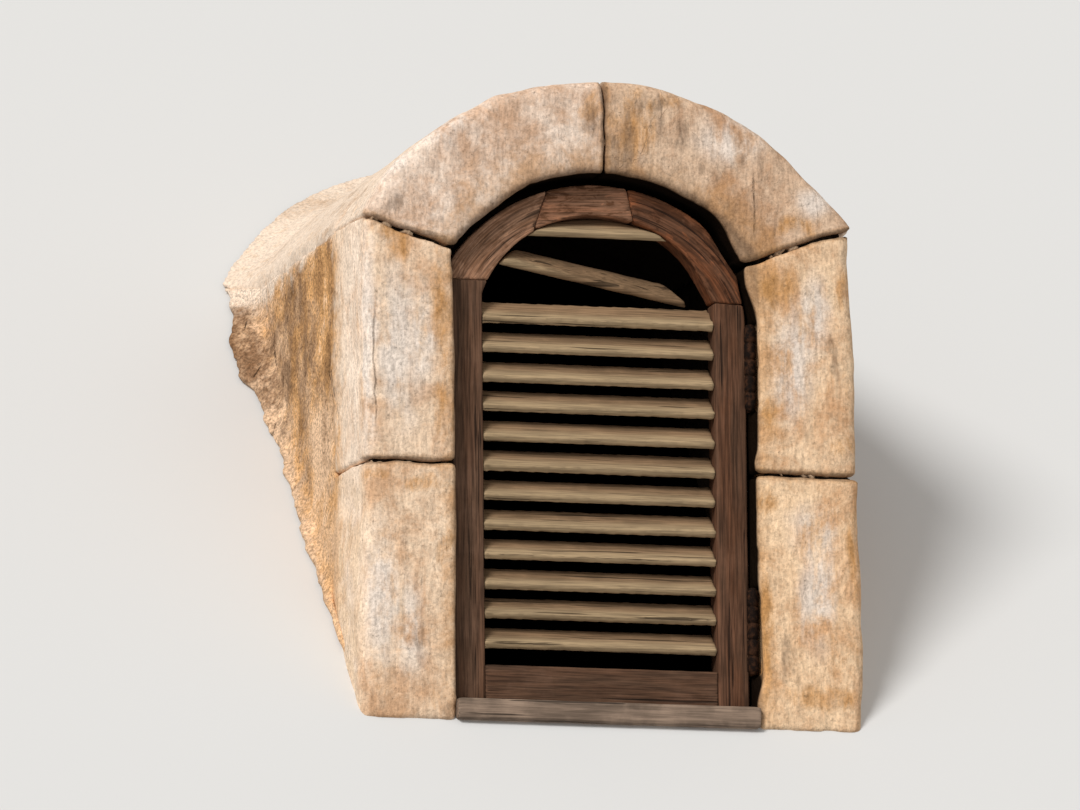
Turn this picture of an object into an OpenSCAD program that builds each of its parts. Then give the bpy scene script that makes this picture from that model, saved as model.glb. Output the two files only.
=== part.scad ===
// Louvred dormer window of dressed stone with plastered cheeks and vault.
// Origin: middle of the front bottom edge of the stone frame. +X to the right seen from the
// front, +Y back into the roof, +Z up. Millimetres.

/* [Stone frame] */
// Overall width across the two jambs
frame_w = 460; // [420:1:520]
// Clear width between the jambs
opening_w = 284; // [250:1:310]
// Height of a jamb at its outer edge, where the arch begins
shoulder_h = 460; // [440:1:500]
// Fall of the joint under the arch, from the shoulder in to the opening
joint_fall = 26; // [10:1:40]
// Rise of the opening's arch above that joint
opening_rise = 74; // [60:1:95]
// Thickness of the arch at its crown
arch_t = 85; // [70:1:110]
// Depth of the stones from front to back
stone_d = 108; // [80:1:140]
// Radius of the worn outer arris on the front
arris_r = 12; // [4:1:20]
// Height of the joint between the two stones of a jamb
bed_joint_h = 236; // [180:1:280]
// Thickness of a mortar joint
joint_t = 6; // [3:1:10]
// Depth by which the mortar has weathered back behind the stone faces
joint_recess = 7; // [2:1:12]

/* [Cheeks and vault] */
// Pitch of the roof, in degrees from the level
roof_pitch = 48; // [44:1:54]
// Thickness of a cheek wall
cheek_t = 80; // [60:1:85]
// Thickness of the vault
vault_t = 65; // [50:1:80]
// Spread of the mortar fillet on the roof at the front
fillet_foot = 8; // [6:1:20]
// Spread of the mortar fillet on the roof at the shoulder
fillet_shoulder = 27; // [20:1:40]
// Spread of the mortar fillet on the roof at the crown
fillet_top = 24; // [15:1:40]
// How far a fillet climbs the wall for each millimetre that it spreads
fillet_climb = 1.4; // [1:0.1:2]
// Height above the bed where the side fillets begin
fillet_start_h = 12; // [5:1:30]

/* [Sill and leaf] */
// Thickness of the sill board
sill_t = 20; // [14:1:28]
// Distance that the sill board stands out in front of the stone
sill_nose = 6; // [0:1:12]
// Distance from the back of the sill board to the back of the stones
sill_short = 12; // [0:1:30]
// Distance from the stone face back to the face of the leaf
leaf_set_back = 22; // [20:1:40]
// Thickness of the leaf
leaf_t = 26; // [22:1:32]
// Gap between the leaf and each jamb, which the hinges fill
side_gap = 3; // [2:0.5:5]
// Gap between the head of the leaf and the arch
head_gap = 8; // [4:1:12]
// Gap between the leaf and the sill board
foot_gap = 2; // [1:0.5:4]
// Width of a stile
stile_w = 30; // [24:1:36]
// Width of the arched head at its crown
head_w = 28; // [22:1:34]
// Height of the bottom rail
rail_h = 33; // [24:1:45]
// Rise of the inner arch of the leaf above its springing
inner_rise = 76; // [60:1:90]
// Distance of the joint between the left stile and the head, below the springing of the stone arch
left_joint_drop = 26; // [18:1:40]
// Distance of the joint between the right stile and the head, below the springing of the stone arch
right_joint_drop = 38; // [18:1:45]
// Distance of the left joint of the crown piece from the middle
crown_left = 50; // [30:1:60]
// Distance of the right joint of the crown piece from the middle
crown_right = 30; // [20:1:50]
// Slant of the crown piece's left joint, in degrees from the vertical
crown_left_slant = 19; // [5:1:30]
// Slant of the crown piece's right joint, in degrees from the vertical
crown_right_slant = 12; // [5:1:30]

/* [Slats] */
// Thickness of a slat
slat_t = 7.5; // [6:0.1:9]
// Slope of a slat, in degrees from the level
slat_slope = 40; // [35:1:43]
// Height of the lowest slat above the bottom rail
first_slat_gap = 14.5; // [8:0.1:20]
// Distance from the inner crown down to the bottom of the top slat
top_slat_drop = 21.7; // [18:0.1:26]
// Small play around a slat in the arch, and under the slipped slat
play = 0.3; // [0.2:0.1:0.5]

/* [Hinges] */
// Radius of a hinge knuckle
knuckle_r = 5.5; // [4:0.5:7]
// Length of a hinge
hinge_l = 80; // [60:1:100]
// Height of the bottom of the lower hinge
lower_hinge_h = 52; // [30:1:80]
// Distance of the bottom of the upper hinge, below the springing of the stone arch
upper_hinge_drop = 139; // [120:1:160]
// Length of a hinge plate from the knuckle back between leaf and jamb
plate_l = 28; // [20:1:32]
// Room cut in the jamb around a knuckle
chase_room = 1.5; // [1:0.5:3]

/* [Hidden] */
$fn = 96;
REGULAR_SLATS = 12;
SLIPPED = 14;
TOP = 15;

half_w = frame_w / 2;
half_o = opening_w / 2;
springing_h = shoulder_h - joint_fall;
opening_h = springing_h + opening_rise;
crown_h = opening_h + arch_t;
left_joint_h = springing_h - left_joint_drop;
right_joint_h = springing_h - right_joint_drop;
upper_hinge_h = springing_h - upper_hinge_drop;
// An arc through (half, low) and (0, high): its radius, then the height of its centre
function arc_r(half, low, high) = (half * half + (high - low) * (high - low)) / (2 * (high - low));
function arc_z(half, low, high) = high - arc_r(half, low, high);
extrados_r = arc_r(half_w, shoulder_h, crown_h);
extrados_z = arc_z(half_w, shoulder_h, crown_h);
intrados_r = arc_r(half_o, springing_h, opening_h);
intrados_z = arc_z(half_o, springing_h, opening_h);

// The springer joint slopes from the opening up to the shoulder
joint_slope = joint_fall / (half_w - half_o);
half_joint = joint_t / 2;
half_slant = half_joint * sqrt(1 + joint_slope * joint_slope);
function springer_z(x) = springing_h + (x - half_o) * joint_slope;

function roof_z(y) = y * tan(roof_pitch);
function roof_y(z) = z / tan(roof_pitch);

// Leaf
leaf_half = half_o - side_gap;
clear_half = leaf_half - stile_w;
leaf_foot = sill_t + foot_gap;
rail_top = leaf_foot + rail_h;
leaf_r = intrados_r - head_gap;
leaf_spring = intrados_z + sqrt(leaf_r * leaf_r - leaf_half * leaf_half);
inner_crown = intrados_z + leaf_r - head_w;
inner_spring = inner_crown - inner_rise;
inner_r = arc_r(clear_half, inner_spring, inner_crown);
inner_z = arc_z(clear_half, inner_spring, inner_crown);

// Slats: the board's breadth lets it lie flush with both faces of the leaf
slat_b = (leaf_t - slat_t * sin(slat_slope)) / cos(slat_slope);
slat_h = slat_b * sin(slat_slope) + slat_t * cos(slat_slope);
first_slat = rail_top + first_slat_gap;
slat_pitch = (inner_crown - top_slat_drop - first_slat) / (TOP - 1);
function slat_z(i) = first_slat + (i - 1) * slat_pitch;
// Half the clear width of the leaf's inner arch at a height
function inner_x(z) = z <= inner_spring ? clear_half : sqrt(inner_r * inner_r - (z - inner_z) * (z - inner_z));
slipped_half = inner_x(slat_z(SLIPPED)) - play;
slipped_drop = slat_z(SLIPPED) - (slat_z(REGULAR_SLATS) + slat_h + play);
slipped_dip = asin(slipped_drop / (2 * slipped_half));
slipped_swing = asin(slat_b * cos(slat_slope) / (2 * slipped_half));

STONE = [0.80, 0.71, 0.60];
MORTAR = [0.36, 0.30, 0.25];
OCHRE = [0.74, 0.60, 0.44];
PLASTER = [0.84, 0.77, 0.67];
FRAME_WOOD = [0.30, 0.23, 0.19];
HEAD_WOOD = [0.40, 0.25, 0.17];
SLAT_WOOD = [0.52, 0.45, 0.34];
SILL_WOOD = [0.47, 0.44, 0.41];
IRON = [0.17, 0.13, 0.12];

// Draws a front outline (x, z) as a solid from y0 back over the depth d
module from_front(y0, d) {
    translate([0, y0 + d, 0]) rotate([90, 0, 0]) linear_extrude(d) children();
}

// Draws a side outline (y, z) as a solid from x0 over the width w
module from_side(x0, w) {
    translate([x0, 0, 0]) rotate([90, 0, 90]) linear_extrude(w) children();
}

// side is 1 for the right half and -1 for the left half
module on_side(side) {
    if (side > 0) children();
    else mirror([1, 0, 0]) children();
}

// A jamb seen from above, with its outer front arris worn round
module jamb_plan() {
    difference() {
        translate([half_o, 0]) square([half_w - half_o, stone_d]);
        translate([half_w - arris_r, 0]) square(arris_r);
    }
    translate([half_w - arris_r, arris_r]) circle(arris_r);
}

// Room for the hinge knuckles in the right jamb
module hinge_chases() {
    reach = knuckle_r + chase_room;
    for (z = [lower_hinge_h, upper_hinge_h])
        translate([hinge_x - reach, hinge_y - reach, z - chase_room])
            cube([2 * reach, 2 * reach, hinge_l + 2 * chase_room]);
}

module jamb_lower() {
    linear_extrude(bed_joint_h - half_joint) jamb_plan();
}

module jamb_upper() {
    intersection() {
        translate([0, 0, bed_joint_h + half_joint])
            linear_extrude(shoulder_h - bed_joint_h) jamb_plan();
        from_front(-1, stone_d + 2) polygon([
            [half_o - 1, 0], [half_w + 1, 0],
            [half_w + 1, springer_z(half_w + 1) - half_slant],
            [half_o - 1, springer_z(half_o - 1) - half_slant],
        ]);
    }
}

// The arch as a disc with a worn front arris; its section is turned about the Y axis
module arch_disc() {
    translate([0, 0, extrados_z]) rotate([-90, 0, 0]) rotate_extrude() {
        difference() {
            square([extrados_r, stone_d]);
            translate([extrados_r - arris_r, 0]) square(arris_r);
        }
        translate([extrados_r - arris_r, arris_r]) circle(arris_r);
    }
}

module arch_stone() {
    difference() {
        intersection() {
            arch_disc();
            from_front(-1, stone_d + 2) polygon([
                [half_joint, springer_z(half_joint) + half_slant],
                [half_w + 1, springer_z(half_w + 1) + half_slant],
                [half_w + 1, crown_h + 1],
                [half_joint, crown_h + 1],
            ]);
        }
        from_front(-2, stone_d + 4) translate([0, intrados_z]) circle(intrados_r);
    }
}

module jamb_left_lower() { color(STONE) on_side(-1) jamb_lower(); }
module jamb_left_upper() { color(STONE) on_side(-1) jamb_upper(); }
module jamb_right_lower() { color(STONE) difference() { jamb_lower(); hinge_chases(); } }
module jamb_right_upper() { color(STONE) difference() { jamb_upper(); hinge_chases(); } }
module arch_stone_left() { color(STONE) on_side(-1) arch_stone(); }
module arch_stone_right() { color(STONE) arch_stone(); }

// Mortar between the two stones of a jamb
module bed_joint() {
    translate([half_o + joint_recess, joint_recess, bed_joint_h - half_joint])
        cube([half_w - half_o - 2 * joint_recess, stone_d - joint_recess, joint_t]);
}

// Mortar between a jamb and the arch
module springer_joint() {
    x0 = half_o + joint_recess;
    x1 = half_w - joint_recess;
    from_front(joint_recess, stone_d - joint_recess) polygon([
        [x0, springer_z(x0) - half_slant], [x1, springer_z(x1) - half_slant],
        [x1, springer_z(x1) + half_slant], [x0, springer_z(x0) + half_slant],
    ]);
}

module bed_joint_left() { color(MORTAR) on_side(-1) bed_joint(); }
module bed_joint_right() { color(MORTAR) bed_joint(); }
module springer_joint_left() { color(MORTAR) on_side(-1) springer_joint(); }
module springer_joint_right() { color(MORTAR) springer_joint(); }

module crown_joint() {
    color(MORTAR) translate([-half_joint, joint_recess, opening_h + joint_recess])
        cube([joint_t, stone_d - joint_recess, crown_h - opening_h - 2 * joint_recess]);
}

// A cheek wall is a triangle behind the jamb, cut off by the roof
module cheek() {
    from_side(half_w - cheek_t, cheek_t) polygon([
        [stone_d, roof_z(stone_d)], [roof_y(shoulder_h), shoulder_h], [stone_d, shoulder_h],
    ]);
}

module cheek_left() { color(OCHRE) on_side(-1) cheek(); }
module cheek_right() { color(OCHRE) cheek(); }

// The vault is the arch carried back to the roof as a shell
module vault() {
    back = roof_y(crown_h);
    color(PLASTER) intersection() {
        from_front(stone_d, back) intersection() {
            difference() {
                translate([0, extrados_z]) circle(extrados_r);
                translate([0, extrados_z]) circle(extrados_r - vault_t);
            }
            translate([-half_w - 1, shoulder_h]) square([2 * half_w + 2, crown_h]);
        }
        from_side(-half_w - 1, 2 * half_w + 2) polygon([
            [0, 0], [back + 1, roof_z(back + 1)], [0, roof_z(back + 1)],
        ]);
    }
}

// One section of a mortar fillet at the outline point (x, z), spreading by the vector (sx, sz) in
// the front view: its root on the wall and roof, its edge on the roof, its hollow face and its top.
function fillet_ring(x, z, sx, sz, spread) =
    let (root = [x, roof_y(z), z],
         edge = [x + sx * spread, roof_y(z + sz * spread), z + sz * spread],
         top = [x, roof_y(z) - spread * fillet_climb, z],
         face = (edge + top) / 2 * 0.7 + root * 0.3)
    [root, edge, face, top];

// A closed band through sections of four points each
module fillet_band(rings) {
    n = len(rings);
    polyhedron(
        points = [for (ring = rings) each ring],
        faces = concat(
            [[0, 1, 2, 3]],
            [for (i = [0 : n - 2], k = [0 : 3])
                each [[4 * i + k, 4 * i + 4 + k, 4 * i + (k + 1) % 4],
                      [4 * i + 4 + k, 4 * i + 4 + (k + 1) % 4, 4 * i + (k + 1) % 4]]],
            [[4 * n - 1, 4 * n - 2, 4 * n - 3, 4 * n - 4]]));
}

// At the shoulder both fillets end on one mitre between the upright side and the arch
shoulder_nx = half_w / extrados_r;
shoulder_nz = (shoulder_h - extrados_z) / extrados_r;
mitre = 1 + shoulder_nx;
mitre_x = (1 + shoulder_nx) / mitre;
mitre_z = shoulder_nz / mitre;

module side_fillet() {
    fillet_band([
        fillet_ring(half_w, fillet_start_h, 1, 0, min(fillet_foot, roof_y(fillet_start_h) / fillet_climb)),
        fillet_ring(half_w, fillet_start_h + 3 * fillet_foot, 1, 0, fillet_foot),
        fillet_ring(half_w, shoulder_h, mitre_x, mitre_z, fillet_shoulder),
    ]);
}

CROWN_STEPS = 36;
shoulder_angle = asin(shoulder_nx);

module fillet_left() { color(OCHRE) on_side(-1) side_fillet(); }
module fillet_right() { color(OCHRE) side_fillet(); }

module fillet_crown() {
    color(PLASTER) fillet_band([for (i = [0 : CROWN_STEPS])
        let (a = shoulder_angle * (1 - 2 * i / CROWN_STEPS),
             end = i == 0 || i == CROWN_STEPS,
             r = extrados_r + (end ? 0 : play),
             spread = fillet_top + (fillet_shoulder - fillet_top) * abs(a) / shoulder_angle)
        fillet_ring(r * sin(a), extrados_z + r * cos(a),
                    end ? sign(a) * mitre_x : sin(a), end ? mitre_z : cos(a), spread)]);
}

module sill_board() {
    color(SILL_WOOD) translate([-half_o, -sill_nose, 0])
        cube([opening_w, stone_d - sill_short + sill_nose, sill_t]);
}

// Clear opening of the leaf in front view, smaller all round by the play c
module leaf_clear(c) {
    translate([c - clear_half, 0]) square([2 * (clear_half - c), inner_spring]);
    intersection() {
        translate([0, inner_z]) circle(inner_r - c);
        translate([c - clear_half, inner_spring - 1]) square([2 * (clear_half - c), inner_rise + 2]);
    }
}

// Stiles and head of the leaf in front view, before they are cut into pieces
module leaf_outline() {
    difference() {
        union() {
            translate([-leaf_half, leaf_foot]) square([2 * leaf_half, leaf_spring - leaf_foot]);
            intersection() {
                translate([0, intrados_z]) circle(leaf_r);
                translate([-leaf_half, leaf_spring - 1]) square([2 * leaf_half, opening_h]);
            }
        }
        leaf_clear(0);
    }
}

// The part of the leaf that lies inside a front outline
module leaf_piece() {
    from_front(leaf_set_back, leaf_t) intersection() {
        leaf_outline();
        children();
    }
}

// A slanted joint line: the x of the joint at a height, leaning towards the middle going down
joint_mid = intrados_z + leaf_r - head_w / 2;
function left_joint_x(z) = -crown_left + (z - joint_mid) * tan(crown_left_slant);
function right_joint_x(z) = crown_right - (z - joint_mid) * tan(crown_right_slant);
joint_low = joint_mid - head_w;
joint_high = joint_mid + head_w;

module stile_left() {
    color(FRAME_WOOD) leaf_piece() translate([-half_w, 0]) square([half_w, left_joint_h]);
}
module stile_right() {
    color(FRAME_WOOD) leaf_piece() square([half_w, right_joint_h]);
}
module head_left() {
    color(FRAME_WOOD) leaf_piece() polygon([
        [-half_w, left_joint_h], [left_joint_x(joint_low), left_joint_h],
        [left_joint_x(joint_low), joint_low], [left_joint_x(joint_high), joint_high],
        [-half_w, joint_high],
    ]);
}
module head_crown() {
    color(HEAD_WOOD) leaf_piece() polygon([
        [left_joint_x(joint_low), joint_low], [right_joint_x(joint_low), joint_low],
        [right_joint_x(joint_high), joint_high], [left_joint_x(joint_high), joint_high],
    ]);
}
module head_right() {
    color(HEAD_WOOD) leaf_piece() polygon([
        [half_w, right_joint_h], [right_joint_x(joint_low), right_joint_h],
        [right_joint_x(joint_low), joint_low], [right_joint_x(joint_high), joint_high],
        [half_w, joint_high],
    ]);
}
module bottom_rail() {
    color(FRAME_WOOD) translate([-clear_half, leaf_set_back, leaf_foot])
        cube([2 * clear_half, leaf_t, rail_h]);
}

// Section of a slat (y, z), with its lowest edge at height 0 and its front edge at the leaf's face
module slat_section() {
    translate([leaf_set_back + slat_t * sin(slat_slope), 0]) rotate(slat_slope) square([slat_b, slat_t]);
}

module slat_board(i) {
    translate([0, 0, slat_z(i)]) from_side(-clear_half, 2 * clear_half) slat_section();
}

// A slat runs from stile to stile, and in the arch it is cut to the curve
module slat(i) {
    color(SLAT_WOOD)
        if (slat_z(i) + slat_h > inner_spring)
            intersection() {
                slat_board(i);
                from_front(leaf_set_back - 1, leaf_t + 2) leaf_clear(play);
            }
        else slat_board(i);
}

module slat_top() { slat(TOP); }

// The right end of this slat has dropped and swung back onto the top edge of the last regular one
module slat_slipped() {
    low = slat_z(SLIPPED);
    pivot = [-slipped_half, leaf_set_back + slat_t * sin(slat_slope), low];
    intersection() {
        translate(pivot) rotate([0, slipped_dip, slipped_swing]) translate(-pivot) slat(SLIPPED);
        from_front(leaf_set_back - 1, 3 * leaf_t) leaf_clear(play);
    }
}

// The hinge's knuckle stands in front of the gap, and its plate fills the gap
hinge_x = half_o - side_gap / 2;
hinge_y = leaf_set_back - knuckle_r - 0.5;
module hinge(z) {
    color(IRON) {
        translate([hinge_x, hinge_y, z]) cylinder(r = knuckle_r, h = hinge_l);
        translate([half_o - side_gap, hinge_y, z]) cube([side_gap, plate_l, hinge_l]);
    }
}
module hinge_lower() { hinge(lower_hinge_h); }
module hinge_upper() { hinge(upper_hinge_h); }

jamb_left_lower();
jamb_left_upper();
jamb_right_lower();
jamb_right_upper();
arch_stone_left();
arch_stone_right();
bed_joint_left();
bed_joint_right();
springer_joint_left();
springer_joint_right();
crown_joint();
cheek_left();
cheek_right();
vault();
fillet_left();
fillet_right();
fillet_crown();
sill_board();
stile_left();
stile_right();
bottom_rail();
head_left();
head_crown();
head_right();
slat(1);  // slat_01
slat(2);  // slat_02
slat(3);  // slat_03
slat(4);  // slat_04
slat(5);  // slat_05
slat(6);  // slat_06
slat(7);  // slat_07
slat(8);  // slat_08
slat(9);  // slat_09
slat(10);  // slat_10
slat(11);  // slat_11
slat(12);  // slat_12
slat_slipped();
slat_top();
hinge_lower();
hinge_upper();
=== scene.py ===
"""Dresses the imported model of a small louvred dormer: worn stone, streaked plaster, grey wood, rust."""

import itertools
import math
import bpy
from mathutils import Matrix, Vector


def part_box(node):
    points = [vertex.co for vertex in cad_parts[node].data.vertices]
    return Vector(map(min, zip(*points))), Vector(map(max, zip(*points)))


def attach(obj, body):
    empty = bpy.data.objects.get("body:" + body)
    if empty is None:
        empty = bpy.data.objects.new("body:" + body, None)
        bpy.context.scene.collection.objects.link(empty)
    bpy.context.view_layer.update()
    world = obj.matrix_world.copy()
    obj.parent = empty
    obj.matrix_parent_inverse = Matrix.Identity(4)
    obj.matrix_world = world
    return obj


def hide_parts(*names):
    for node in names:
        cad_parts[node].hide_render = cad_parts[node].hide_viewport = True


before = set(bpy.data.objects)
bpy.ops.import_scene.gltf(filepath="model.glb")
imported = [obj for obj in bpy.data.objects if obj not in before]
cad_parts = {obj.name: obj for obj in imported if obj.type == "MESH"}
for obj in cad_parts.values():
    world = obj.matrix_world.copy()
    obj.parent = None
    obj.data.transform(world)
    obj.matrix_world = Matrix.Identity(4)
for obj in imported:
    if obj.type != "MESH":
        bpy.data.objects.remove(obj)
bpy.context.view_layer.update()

from types import SimpleNamespace

import bmesh
import bpy
import numpy as np
from bpy.props import FloatProperty, FloatVectorProperty, IntProperty, PointerProperty
from mathutils import Matrix, Vector

bl_info = {
    "name": "Louvred dormer window",
    "version": (1, 0, 0),
    "blender": (4, 5, 0),
    "location": "View3D > Sidebar > Dormer",
    "description": "Makes the stones, plaster, wood and iron of a small louvred dormer window",
    "category": "Object",
}

JOINTS = ("bed_joint_left", "bed_joint_right", "springer_joint_left", "springer_joint_right", "crown_joint")
SLATS = tuple(f"slat_{i:02d}" for i in range(1, 13)) + ("slat_slipped", "slat_top")
HINGES = ("hinge_lower", "hinge_upper")

# Main sizes from the frame, in metres, and the slope of the seat that the part stands on, in radians
HALF_OPENING, HALF_WIDTH = (corner.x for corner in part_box("jamb_right_lower"))
STONE_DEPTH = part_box("jamb_right_lower")[1].y
CHEEK_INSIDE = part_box("cheek_right")[0].x
LEAF_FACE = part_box("bottom_rail")[0].y
SHOULDER, CROWN = (corner.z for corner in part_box("vault"))
BED_JOINT = sum(corner.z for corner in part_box("bed_joint_left")) / 2
SPRINGER_FALL = (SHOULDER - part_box("arch_stone_right")[0].z) / (HALF_WIDTH - HALF_OPENING)
SEAT_SLOPE = math.atan2(SHOULDER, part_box("cheek_left")[1].y)
SEAT_TURN = Matrix.Rotation(-SEAT_SLOPE, 3, "X")

# Sizes that no box of the frame gives
HALF_JOINT = 0.003
JOINT_RECESS = 0.007
VAULT_THICKNESS = 0.065
MORTAR_MESH = 0.0015
SILL_MESH = 0.0022


def arc(half, low, high):
    """Radius and centre height of the arc through (half, low) and (0, high)."""
    radius = (half**2 + (high - low) ** 2) / (2 * (high - low))
    return radius, high - radius


EXTRADOS_RADIUS, EXTRADOS_HEIGHT = arc(HALF_WIDTH, SHOULDER, CROWN)
INTRADOS_RADIUS, INTRADOS_HEIGHT = arc(
    HALF_OPENING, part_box("arch_stone_right")[0].z - HALF_JOINT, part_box("crown_joint")[0].z - JOINT_RECESS)
VAULT_INSIDE = EXTRADOS_RADIUS - VAULT_THICKNESS

# Colours that aren't among the settings
# Painted shade for the inside faces of the cheeks and the vault
INSIDE_SHADE = (0.035, 0.024, 0.016)
# Painted shade for the reveals, the faces inside the opening
REVEAL_SHADE = (0.009, 0.0055, 0.0035)
CRACK_DIRT = (0.05, 0.03, 0.02)
FILLET_MORTAR = (0.70, 0.485, 0.32)
FLANK_SAND = (0.80, 0.54, 0.31)
JOINT_SOOT, JOINT_GREY, JOINT_CRUMBS = (0.010, 0.006, 0.004), (0.040, 0.027, 0.019), (0.50, 0.34, 0.215)
RUST_BLOOM = (0.055, 0.022, 0.010)
SURROUNDINGS = (0.783, 0.775, 0.745)
# Painted shade: the black of the panel that closes the opening at the back
ATTIC_SHADE_BLACK = (0.0005,) * 3

# What all colour settings share, and all small lengths
COLOUR = {"subtype": "COLOR", "size": 3, "min": 0, "max": 1}
LENGTH = {"unit": "LENGTH", "precision": 4}


class StoneSettings(bpy.types.PropertyGroup):
    """Form and colours of the dressed stones."""

    mesh_pitch: FloatProperty(
        name="Mesh pitch", description="Distance between the points of a stone's mesh",
        default=0.0025, min=0.001, max=0.01, **LENGTH)
    arris_rounds: IntProperty(
        name="Arris wear", description="Rounds of smoothing that wear the arrises", default=3, min=0, max=40)
    chip_depth: FloatProperty(
        name="Chip depth", description="Depth of the chips along the arrises",
        default=0.006, min=0, max=0.02, **LENGTH)
    face_relief: FloatProperty(
        name="Face relief", description="Height of the unevenness of a hewn face",
        default=0.0016, min=0, max=0.01, **LENGTH)
    pale: FloatVectorProperty(
        name="Pale stone", description="Colour of the cleaner stone", default=(0.85, 0.65, 0.475), **COLOUR)
    warm: FloatVectorProperty(
        name="Warm stone", description="Colour of the weathered stone",
        default=(0.62, 0.388, 0.237), **COLOUR)
    ochre: FloatVectorProperty(
        name="Ochre stain", description="Colour of the stains along edges",
        default=(0.58, 0.29, 0.10), **COLOUR)
    lime: FloatVectorProperty(
        name="Lime", description="Colour of the lime runs", default=(0.81, 0.70, 0.605), **COLOUR)
    grime: FloatVectorProperty(
        name="Grime", description="Colour of the soot and algae", default=(0.16, 0.10, 0.065), **COLOUR)


class PlasterSettings(bpy.types.PropertyGroup):
    """Form and colours of the cheeks, vault and fillets."""

    mesh_pitch: FloatProperty(
        name="Mesh pitch", description="Distance between the points of a plastered piece's mesh",
        default=0.0036, min=0.002, max=0.01, **LENGTH)
    trowel_relief: FloatProperty(
        name="Trowel relief", description="Height of the unevenness of the plaster",
        default=0.0035, min=0, max=0.01, **LENGTH)
    pale: FloatVectorProperty(
        name="Pale plaster", description="Colour of the vault", default=(0.86, 0.69, 0.54), **COLOUR)
    ochre: FloatVectorProperty(
        name="Ochre plaster", description="Colour of the cheeks", default=(0.77, 0.42, 0.175), **COLOUR)
    streak: FloatVectorProperty(
        name="Streaks", description="Colour of the dirt that runs down",
        default=(0.225, 0.112, 0.051), **COLOUR)


class WoodSettings(bpy.types.PropertyGroup):
    """Form and colours of the leaf and the sill board."""

    mesh_pitch: FloatProperty(
        name="Mesh pitch", description="Distance between the points of a board's mesh",
        default=0.0018, min=0.001, max=0.005, **LENGTH)
    edge_wear: FloatProperty(
        name="Edge wear", description="Depth of the nicks along the edges",
        default=0.0012, min=0, max=0.004, **LENGTH)
    frame_dark: FloatVectorProperty(
        name="Frame", description="Main colour of the leaf's frame", default=(0.076, 0.043, 0.026), **COLOUR)
    frame_red: FloatVectorProperty(
        name="Frame, reddish", description="Colour of its reddish bands",
        default=(0.17, 0.056, 0.021), **COLOUR)
    slat_pale: FloatVectorProperty(
        name="Slat edge", description="Colour of the bleached front edges",
        default=(0.39, 0.28, 0.160), **COLOUR)
    slat_brown: FloatVectorProperty(
        name="Slat", description="Colour of the slats further back", default=(0.24, 0.147, 0.079), **COLOUR)
    sill_grey: FloatVectorProperty(
        name="Sill", description="Main colour of the sill board", default=(0.235, 0.165, 0.118), **COLOUR)


class IronSettings(bpy.types.PropertyGroup):
    """Form and colours of the hinges."""

    barrels: IntProperty(
        name="Barrels", description="Barrels of a hinge knuckle", default=5, min=3, max=7)
    rust: FloatVectorProperty(
        name="Rust", description="Colour of the rusted iron", default=(0.014, 0.007, 0.0045), **COLOUR)


class StageSettings(bpy.types.PropertyGroup):
    """Floor, light and camera."""

    floor: FloatVectorProperty(
        name="Floor", description="Colour of the floor", default=(0.70, 0.69, 0.67), **COLOUR)
    key: FloatProperty(
        name="Key light", description="Strength of the sun", default=2.4, min=0, max=10)
    fill: FloatProperty(
        name="Fill light", description="Strength of the light from all round", default=0.5, min=0, max=2)
    camera_azimuth: FloatProperty(
        name="Camera azimuth", description="Angle of the camera to the left of the front",
        default=math.radians(15), subtype="ANGLE")
    camera_drop: FloatProperty(
        name="Camera drop", description="Angle of the camera below the level",
        default=math.radians(10), subtype="ANGLE")
    camera_roll: FloatProperty(
        name="Camera roll", description="Turn of the picture, anticlockwise",
        default=math.radians(0.5), subtype="ANGLE")
    camera_distance: FloatProperty(
        name="Camera distance", description="Distance of the camera from the dormer",
        default=15.0, min=2, max=40, unit="LENGTH")
    picture_width: FloatProperty(
        name="Picture width", description="Width that the picture shows at the dormer",
        default=0.985, min=0.5, max=5, unit="LENGTH")


SETTINGS = {
    "dormer_stone": StoneSettings, "dormer_plaster": PlasterSettings, "dormer_wood": WoodSettings,
    "dormer_iron": IronSettings, "dormer_stage": StageSettings,
}


def lattice_noise(points, seed):
    """Smooth noise from -1 to 1 at each point, always the same for the same seed."""
    cell = np.floor(points)
    part = points - cell
    cell = cell.astype(np.int64)
    ease = part * part * (3 - 2 * part)
    total = np.zeros(len(points))
    for corner in itertools.product((0, 1), repeat=3):
        # Large odd numbers mix a corner's place and the seed into a number of its own
        x, y, z = (cell + corner).T
        mixed = (x * 73856093 ^ y * 19349663 ^ z * 83492791 ^ seed * 40503) & 0x7FFFFFFF
        mixed = ((mixed ^ (mixed >> 13)) * 1274126177) & 0x7FFFFFFF
        value = ((mixed ^ (mixed >> 15)) & 0xFFFF) / 32767.5 - 1
        total += value * np.prod(np.where(corner, ease, 1 - ease), axis=1)
    return total


def lumps(points, size, seed, octaves=3, stretch=(1, 1, 1)):
    """Noise with lumps of about size metres, longer by stretch along each axis, with finer ones on them."""
    points = points / (size * np.array(stretch))
    total = sum(lattice_noise(points * 2**k, seed + k) * 0.5**k for k in range(octaves))
    return total / (2 - 0.5 ** (octaves - 1))


def step(values, low, high):
    """0 up to low, 1 from high on, and a smooth rise between. With low above high it falls."""
    part = np.clip((values - low) / (high - low), 0, 1)
    return part * part * (3 - 2 * part)


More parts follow.
